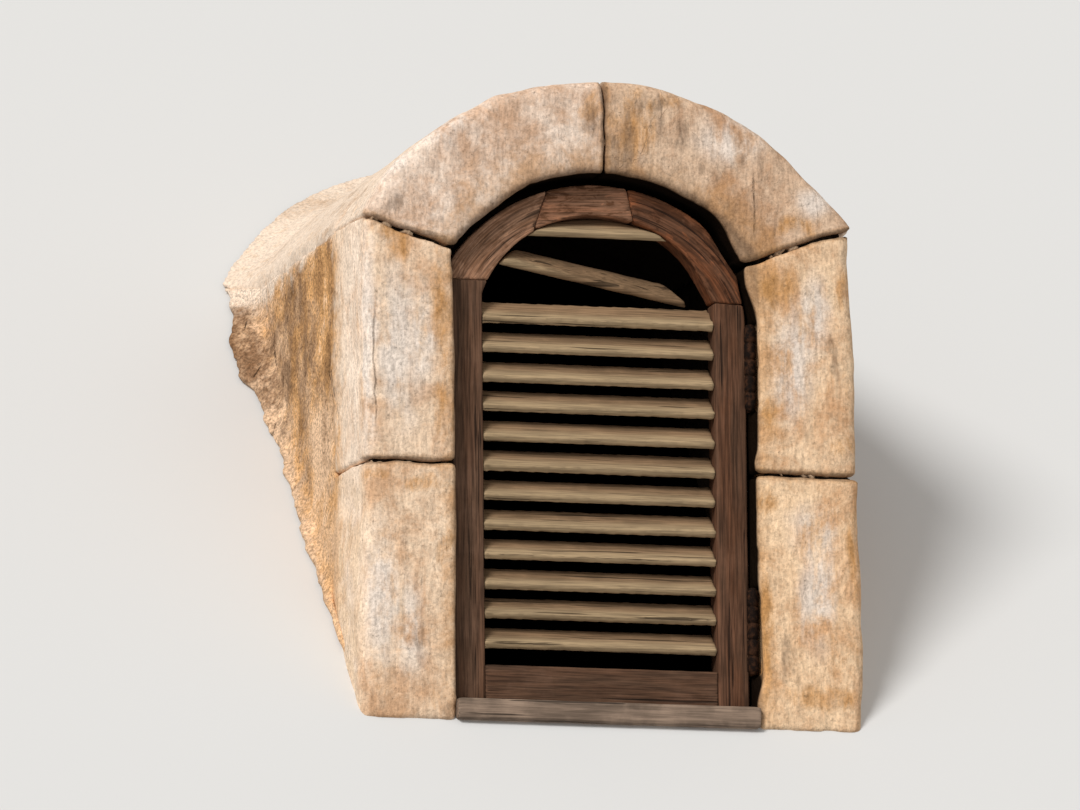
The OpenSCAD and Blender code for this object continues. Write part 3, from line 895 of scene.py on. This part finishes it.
def plaster_finish(name, look, pale):
    """Lime plaster: trowel marks, grit and, unless pale, brown runs and cracks. Painted shade makes the
    inside faces dark.
    """
    f = Finish(name)
    place = f.place()
    x, _, z = f.axes(place)
    colour, cracks = plaster_colour(f, place, look, pale)
    grit = f.noise(place, 360, 5, 0.72)
    lumpy = f.noise(place, 100, 6, 0.65)
    contrast = 0.5 if pale else 1.0
    colour = f.times(colour, grit.rise(0.28, 0.72) * contrast + (1.02 - contrast / 2))
    out, inside = (round_axis(f, x, z, EXTRADOS_HEIGHT), VAULT_INSIDE) if pale else (abs(x), CHEEK_INSIDE)
    # Painted shade: the faces inside the cheeks and the vault are made nearly black
    colour = f.mix(out.rise(inside + 0.009, inside + 0.004), colour, INSIDE_SHADE)
    relief = lumpy * 1.2 + grit * 0.45 - cracks * 0.8
    return f.surface(colour, 0.95, f.bump(relief, 0.0020, 0.95))


class DORMER_OT_cheeks(bpy.types.Operator):
    """Makes the plastered cheek walls, each with its mortar fillet along the seat"""

    bl_idname = "dormer.cheeks"
    bl_label = "Cheeks and fillets"

    # Dark runs at (y, z, half depth, half height) in millimetres
    RUNS = {
        "left": [(150, 425, 18, 40), (115, 345, 12, 30), (200, 300, 24, 50), (340, 385, 30, 28),
                 (275, 350, 28, 22), (400, 440, 22, 18), (190, 245, 16, 30)],
        "right": [(130, 420, 16, 50), (230, 400, 22, 60), (320, 370, 30, 30), (180, 290, 20, 40)],
    }

    def execute(self, context):
        look = context.scene.dormer_plaster
        for side, runs in self.RUNS.items():
            nodes = ("cheek_" + side, "fillet_" + side)
            piece, form = plastered_form(nodes, look)
            self.ragged(form.points)
            self.thin_foot(form.points)
            form.store()
            form.paint("dirt", spots(form.points, runs, 1))
            settle(piece, plaster_finish("cheek_plaster_" + side, look, False), "ochre_plaster", *nodes)
        return {"FINISHED"}

    @staticmethod
    def ragged(points):
        """The fillet runs out in uneven lumps, the largest high on the left."""
        x, z = points[:, 0], points[:, 2]
        proud = np.clip((np.abs(x) - HALF_WIDTH) / 0.012, 0, 1) * step(above_seat(points), 0.035, 0.005)
        large = step(np.abs(z - 0.385), 0.055, 0.010) * (x < 0) * 0.011
        out = lumps(points, 0.026, 140, 3) * 0.007 + lumps(points, 0.008, 150, 2) * 0.0025 + large
        points[:, 0] += np.sign(x) * out * proud

    @staticmethod
    def thin_foot(points):
        """The fillet runs out to nothing at the foot of the jamb."""
        x, z = points[:, 0], points[:, 2]
        proud = np.maximum(np.abs(x) - HALF_WIDTH, 0)
        buried = np.clip(proud / 0.001, 0, 1) * step(z, 0.065, 0.04) * 0.003
        points[:, 0] -= np.sign(x) * (proud * step(z, 0.13, 0.045) + buried)


class DORMER_OT_vault(bpy.types.Operator):
    """Makes the plastered vault, with its soft lip over the cheeks and its fillet along the seat"""

    bl_idname = "dormer.vault"
    bl_label = "Vault"

    def execute(self, context):
        look = context.scene.dormer_plaster
        nodes = ("vault", "fillet_crown")
        piece, form = plastered_form(nodes, look)
        p = form.points
        up = p[:, 2] - SHOULDER
        outside = step(np.abs(p[:, 0]), HALF_WIDTH - 0.03, HALF_WIDTH - 0.005)
        lip = outside * step(up, 0, 0.012) * step(up, 0.05, 0.012)
        p[:, 0] += np.sign(p[:, 0]) * lip * (0.004 + 0.003 * lumps(p, 0.03, 209, 2))
        p[:, 2] -= outside * step(up, 0.006, 0.001) * 0.006
        form.store()
        settle(piece, plaster_finish("vault_plaster", look, True), "pale_plaster", *nodes)
        return {"FINISHED"}


def wood_finish(name, angle, colours, seed, bleached=None, flaked=0.0):
    """Weathered board: fibres, bands, checks and silvering, and a bleached front edge or flaked face.

    The grain runs at an angle in degrees from the level in the front view, or round the arch for None."""
    dark, second, silver = colours
    f = Finish(name)
    place = f.place()
    x, y, z = f.axes(place)
    if angle is None:
        along = x.math("ARCTAN2", x, z - INTRADOS_HEIGHT) * INTRADOS_RADIUS + seed
        radius = round_axis(f, x, z, INTRADOS_HEIGHT)
        grain = f.node("ShaderNodeCombineXYZ", {}, {0: along, 1: y, 2: radius})
    else:
        turn = (0, math.radians(angle), 0)
        grain = f.stretched(place, (1, 1, 1), (seed, seed * 0.7, seed * 1.3), turn)
    bands = f.noise(f.stretched(grain, (0.09, 1, 1)), 85, 4, 0.55, 0.3)
    fibres = f.noise(f.stretched(grain, (0.035, 1, 1)), 620, 4, 0.6)
    blotches = f.noise(place, 30, 4, 0.6)
    split = f.noise(f.stretched(grain, (0.03, 1, 1), (4, 7, 1)), 210, 3, 0.5).rise(0.625, 0.67)
    colour = f.layered(
        dark, (bands.rise(0.40, 0.62), second), (blotches.rise(0.45, 0.68) * 0.6, silver))
    if bleached:
        front = (y + bands.swing(0.006)).rise(LEAF_FACE + 0.012, LEAF_FACE + 0.002)
        colour = f.mix(front * 0.8, colour, bleached)
    if flaked:
        flakes = f.noise(f.stretched(grain, (0.3, 1, 1), (2, 5, 3)), 120, 6, 0.7, 0.6)
        colour = f.layered(
            colour,
            (flakes.rise(0.48, 0.60) * flaked, tinted(dark, 0.45, 0.2)),
            (flakes.rise(0.44, 0.34) * flaked * 0.7, tinted(silver, 1.5, 0.1)))
    colour = f.mix(split * 0.85, colour, tinted(dark, 0.2))
    contrast = 0.95 if flaked else 0.60
    colour = f.times(colour, fibres.rise(0.3, 0.7) * contrast + (1 - contrast / 2))
    relief = fibres * 0.6 + bands * 0.5 - split * 1.2
    return f.surface(colour, 0.88 - fibres * 0.12, f.bump(relief, 0.0009, 0.9), specular=0.15)


def board(node, pitch, look, seed, tilted=False, firm=None):
    """A board with worn edges. One that lies tilted is meshed along its own axes."""
    axes = board_axes(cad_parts[node].data) if tilted else None
    piece = even_copy((node,), pitch, axes)
    form, wear = worn_form(piece, 3, pitch, firm)
    nicks = step(lumps(form.points, 0.012, seed, 3), 0.05, 0.6) * wear
    form.swell(lumps(form.points, 0.02, seed + 5, 2) * 0.0003 - nicks * look.edge_wear)
    if not tilted:
        form.points += ease_corner(form.points)
    form.store()
    return piece


class DORMER_OT_sill(bpy.types.Operator):
    """Makes the sill board"""

    bl_idname = "dormer.sill"
    bl_label = "Sill board"

    def execute(self, context):
        look = context.scene.dormer_wood
        colours = [tinted(look.sill_grey, part) for part in (1.0, 0.62, 1.45)]
        finish = wood_finish("sill_wood", 0, colours, 3.1)
        settle(board("sill_board", SILL_MESH, look, 500), finish, "sill_wood", "sill_board")
        return {"FINISHED"}


class DORMER_OT_leaf(bpy.types.Operator):
    """Makes the stiles, the bottom rail and the three pieces of the arched head"""

    bl_idname = "dormer.leaf"
    bl_label = "Frame of the leaf"

    # Angle of the grain, share of reddish wood, share of flaked surface, lightness, material slot. On the
    # head pieces and the left stile the lightness is partly painted light, which brightens them in the
    # shadows of the arch and the jamb
    LOOKS = {
        "stile_left": (90, 0.15, 0.15, 1.4, "frame_wood"),
        "stile_right": (90, 0.38, 0.15, 1.0, "frame_wood"),
        "bottom_rail": (0, 0.15, 0.15, 1.15, "frame_wood"),
        "head_left": (None, 0.10, 0.60, 4.0, "frame_wood"),
        "head_crown": (3, 0.34, 1.00, 2.4, "head_wood"),
        "head_right": (None, 0.82, 0.85, 1.1, "head_wood"),
    }

    def execute(self, context):
        look = context.scene.dormer_wood
        dark, red = look.frame_dark[:], look.frame_red[:]
        greyed = tuple(c * 1.4 + 0.008 for c in dark)
        for seed, (node, (angle, reddish, flaked, tone, slot)) in enumerate(self.LOOKS.items()):
            base, second = (between(dark, red, part) for part in (reddish * 0.4, reddish))
            # The lightness is partly painted light: it brightens the head pieces and the left stile where
            # they lie in shade
            colours = [tinted(colour, tone) for colour in (base, second, between(greyed, red, reddish))]
            finish = wood_finish(node, angle, colours, seed * 1.9, flaked=flaked)
            settle(board(node, look.mesh_pitch, look, 400 + seed * 9), finish, slot, node)
        return {"FINISHED"}


class DORMER_OT_slats(bpy.types.Operator):
    """Makes the slats, bleached along their front edges"""

    bl_idname = "dormer.slats"
    bl_label = "Slats"

    def execute(self, context):
        look = context.scene.dormer_wood
        for seed, node in enumerate(SLATS):
            tone = 1 + 0.22 * lattice_noise(np.array([[seed * 0.73, 0.4, 0.2]]), 7)[0]
            colours = [tinted(look.slat_brown, tone * part) for part in (1.0, 0.78, 1.25)]
            finish = wood_finish(node, 0, colours, seed * 0.61, bleached=tinted(look.slat_pale, tone))
            firm = self.housed if node[-1].isdigit() else None
            piece = board(node, look.mesh_pitch, look, 600 + seed * 9, True, firm)
            settle(piece, finish, "slat_wood", node)
        return {"FINISHED"}

    @staticmethod
    def housed(points):
        """The ends of a slat don't wear, because the stiles hold them."""
        x = points[:, 0]
        return step(np.abs(x - (x.max() + x.min()) / 2), np.ptp(x) / 2 - 0.008, np.ptp(x) / 2 - 0.003)


class DORMER_OT_hinges(bpy.types.Operator):
    """Makes the hinges: a knuckle of barrels round a pin, and the plate behind it"""

    bl_idname = "dormer.hinges"
    bl_label = "Hinges"

    SEGMENTS = 32
    RADIUS = 0.0055
    # Rings at the end of the pin and at the end of a barrel, as distance from that end and radius
    CAP = ((0, 0.0022), (0.0006, 0.0036), (0.002, 0.004))
    BARREL = ((0.0004, RADIUS - 0.0013), (0.0012, RADIUS - 0.0001), (0.004, RADIUS))
    PLATE, PLATE_BEVEL = 0.003, 0.0006

    def execute(self, context):
        look = context.scene.dormer_iron
        f = Finish("rusted_iron")
        scale = f.noise(f.place(), 160, 6, 0.7)
        colour = f.mix(scale.rise(0.42, 0.66), tinted(look.rust, 0.55), RUST_BLOOM)
        iron = f.surface(colour, 0.9 - scale * 0.2, f.bump(scale, 0.0008), metallic=0.1, specular=0.1)
        for seed, node in enumerate(HINGES):
            piece = self.hinge(node, look.barrels)
            form = Form(piece.data)
            form.swell(lumps(form.points, 0.005, 700 + seed * 9, 3) * 0.0003)
            form.store()
            settle(piece, iron, "rusted_iron", node)
        return {"FINISHED"}

    def hinge(self, node, barrels):
        """A new object in the place of a hinge: its rings joined into one knuckle, and its plate."""
        low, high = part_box(node)
        centre = Vector((low.x + self.RADIUS, low.y + self.RADIUS, 0))
        turns = [2 * math.pi * s / self.SEGMENTS for s in range(self.SEGMENTS)]
        solid = bmesh.new()
        loops = [
            [solid.verts.new(centre + Vector((r * math.cos(a), r * math.sin(a), z))) for a in turns]
            for z, r in self.rings(low.z, high.z, barrels)]
        for lower, upper in zip(loops, loops[1:]):
            for s in range(self.SEGMENTS):
                t = (s + 1) % self.SEGMENTS
                solid.faces.new((lower[s], lower[t], upper[t], upper[s]))
        solid.faces.new(loops[0][::-1])
        solid.faces.new(loops[-1])
        near = Vector((HALF_OPENING - self.PLATE, low.y + self.RADIUS, low.z))
        far = Vector((HALF_OPENING, high.y, high.z))
        plate = bmesh.ops.create_cube(
            solid, size=1, matrix=Matrix.LocRotScale((near + far) / 2, None, far - near))
        edges = list(dict.fromkeys(edge for vert in plate["verts"] for edge in vert.link_edges))
        bmesh.ops.bevel(solid, geom=edges, offset=self.PLATE_BEVEL, segments=2, affect="EDGES")
        return new_object("dressed_" + node, solid)

    def rings(self, foot, head, barrels):
        """Height and radius of each ring of a knuckle, from its foot to its head."""
        cap = self.CAP[-1][0]
        length = (head - foot - 2 * cap) / barrels
        rings = [(foot + h, r) for h, r in self.CAP]
        for k in range(barrels):
            start = foot + cap + k * length
            rings += [(start + h, r) for h, r in self.BARREL]
            rings.append((start + length / 2, self.RADIUS))
            rings += [(start + (length - h), r) for h, r in reversed(self.BARREL)]
        return rings + [(head - h, r) for h, r in reversed(self.CAP)]


def stage_finish(name, colour, shuts=False):
    """Shown to the camera from its front side only. Other light passes, unless the sheet shuts it out."""
    f = Finish(name)
    behind = f.node("ShaderNodeNewGeometry", output="Backfacing")
    camera = f.node("ShaderNodeLightPath", output="Is Camera Ray")
    shown = f.node("ShaderNodeMixShader", {}, {
        0: 1 - camera * behind if shuts else camera * (1 - behind),
        1: f.node("ShaderNodeBsdfTransparent"),
        2: f.node("ShaderNodeBsdfDiffuse", {}, {"Color": colour})})
    f.node("ShaderNodeOutputMaterial", {}, {"Surface": shown})
    return f.block


def surroundings(strength):
    """White light from all round, and a pale grey for the camera and for gloss."""
    f = Finish("Pale surroundings", world=True)
    camera = f.node("ShaderNodeLightPath", output="Is Camera Ray")
    glossy = f.node("ShaderNodeLightPath", output="Is Glossy Ray")
    shown = f.node("ShaderNodeMixShader", {}, {
        0: camera.most(glossy),
        1: f.node("ShaderNodeBackground", {}, {"Color": (1, 1, 1), "Strength": strength}),
        2: f.node("ShaderNodeBackground", {}, {"Color": SURROUNDINGS})})
    f.node("ShaderNodeOutputWorld", {}, {"Surface": shown})
    return f.block


class DORMER_OT_stage(bpy.types.Operator):
    """Makes the sloping floor with its opening, the light and the camera"""

    bl_idname = "dormer.stage"
    bl_label = "Stage, light and camera"

    FLOOR_DROP, FLOOR_REACH = 0.0015, 40.0
    OPENING_EDGE, OPENING_FOOT, OPENING_STEPS = 0.004, 0.010, 24
    SUN_HEADING, SUN_WIDTH = (0.68, 0.70, -0.68), math.radians(20)
    # Where the camera aims, then how far the picture's middle lies to the left of that and above it
    AIM, LEFT, ABOVE = (0, 0.1, 0.28), 0.034, 0.030

    def execute(self, context):
        look = context.scene.dormer_stage
        self.floor(look)
        context.scene.world = surroundings(look.fill)
        sun = bpy.data.lights.new("Key", "SUN")
        sun.energy = look.key
        sun.angle = self.SUN_WIDTH
        key = bpy.data.objects.new("Key", sun)
        key.rotation_euler = Vector(self.SUN_HEADING).to_track_quat("-Z", "Y").to_euler()
        context.scene.collection.objects.link(key)
        self.camera(context, look)
        context.scene.view_settings.view_transform = "Standard"
        return {"FINISHED"}

    def opening(self):
        """Outline of the space inside where it meets the seat, from the right foot over the arch."""
        side, radius = CHEEK_INSIDE + self.OPENING_EDGE, VAULT_INSIDE + self.OPENING_EDGE
        rise = math.sqrt(radius**2 - side**2)
        outline = [(side, self.OPENING_FOOT), (side, EXTRADOS_HEIGHT + rise)]
        for k in range(1, self.OPENING_STEPS):
            turn = math.atan2(side, rise) * (1 - 2 * k / self.OPENING_STEPS)
            outline.append((radius * math.sin(turn), EXTRADOS_HEIGHT + radius * math.cos(turn)))
        outline += [(-x, z) for x, z in outline[1::-1]]
        return [Vector((x, z / math.sin(SEAT_SLOPE), 0)) for x, z in outline]

    def floor(self, look):
        """A floor that slopes as the seat does, just under it, and a black panel across the opening: painted
        shade that stands for the dark space inside, and that also shuts light out of it.
        """
        slope = Matrix.Rotation(SEAT_SLOPE, 4, "X") @ Matrix.Translation((0, 0, -self.FLOOR_DROP))
        hole = self.opening()
        centre = sum(hole, Vector()) / len(hole)
        rim = [centre + (p - centre).normalized() * self.FLOOR_REACH for p in hole]
        floor, panel = bmesh.new(), bmesh.new()
        panel.faces.new([panel.verts.new(slope @ p) for p in hole])
        inner, outer = ([floor.verts.new(slope @ p) for p in ring] for ring in (hole, rim))
        for k in range(len(hole)):
            floor.faces.new((inner[k], inner[k - 1], outer[k - 1], outer[k]))
        # Painted shade: a black sheet across the opening stands for the dark space inside
        for name, sheet, finish in (
                ("floor", floor, stage_finish("floor", look.floor[:])),
                ("attic_shade_panel", panel, stage_finish("attic_shade_panel", ATTIC_SHADE_BLACK, shuts=True))):
            plane = new_object(name, sheet)
            plane.data.materials.append(finish)

    def camera(self, context, look):
        """Long lens from below left, as the photograph was taken."""
        a, e, r = look.camera_azimuth, look.camera_drop, look.camera_roll
        ahead = Vector((math.sin(a) * math.cos(e), math.cos(a) * math.cos(e), math.sin(e)))
        right = ahead.cross(Vector((0, 0, 1))).normalized()
        up = right.cross(ahead)
        target = Vector(self.AIM) - right * self.LEFT + up * self.ABOVE
        turned = right * math.cos(r) - up * math.sin(r)
        upright = right * math.sin(r) + up * math.cos(r)
        data = bpy.data.cameras.new("Camera")
        data.sensor_width = 36
        data.lens = data.sensor_width * look.camera_distance / look.picture_width
        data.clip_end = 100
        camera = bpy.data.objects.new("Camera", data)
        axes = Matrix((turned, upright, -ahead)).transposed().to_4x4()
        camera.matrix_world = Matrix.Translation(target - ahead * look.camera_distance) @ axes
        context.scene.collection.objects.link(camera)
        context.scene.camera = camera


OPERATORS = (
    DORMER_OT_stage, DORMER_OT_stones, DORMER_OT_joints, DORMER_OT_cheeks, DORMER_OT_vault,
    DORMER_OT_sill, DORMER_OT_leaf, DORMER_OT_slats, DORMER_OT_hinges,
)


class DORMER_PT_panel(bpy.types.Panel):
    """Lists the settings and the pieces of the dormer."""

    bl_label = "Louvred dormer"
    bl_idname = "DORMER_PT_panel"
    bl_space_type = "VIEW_3D"
    bl_region_type = "UI"
    bl_category = "Dormer"

    def draw(self, context):
        for name in SETTINGS:
            box = self.layout.box()
            settings = getattr(context.scene, name)
            for key in settings.__annotations__:
                box.prop(settings, key)
        for operator in OPERATORS:
            self.layout.operator(operator.bl_idname)


def register():
    for name, settings in SETTINGS.items():
        bpy.utils.register_class(settings)
        setattr(bpy.types.Scene, name, PointerProperty(type=settings))
    for item in OPERATORS + (DORMER_PT_panel,):
        bpy.utils.register_class(item)


def unregister():
    for item in reversed(OPERATORS + (DORMER_PT_panel,)):
        bpy.utils.unregister_class(item)
    for name, settings in reversed(SETTINGS.items()):
        delattr(bpy.types.Scene, name)
        bpy.utils.unregister_class(settings)


def main():
    register()
    for operator in OPERATORS:
        getattr(bpy.ops.dormer, operator.bl_idname.split(".")[1])()


if __name__ == "__main__":
    main()
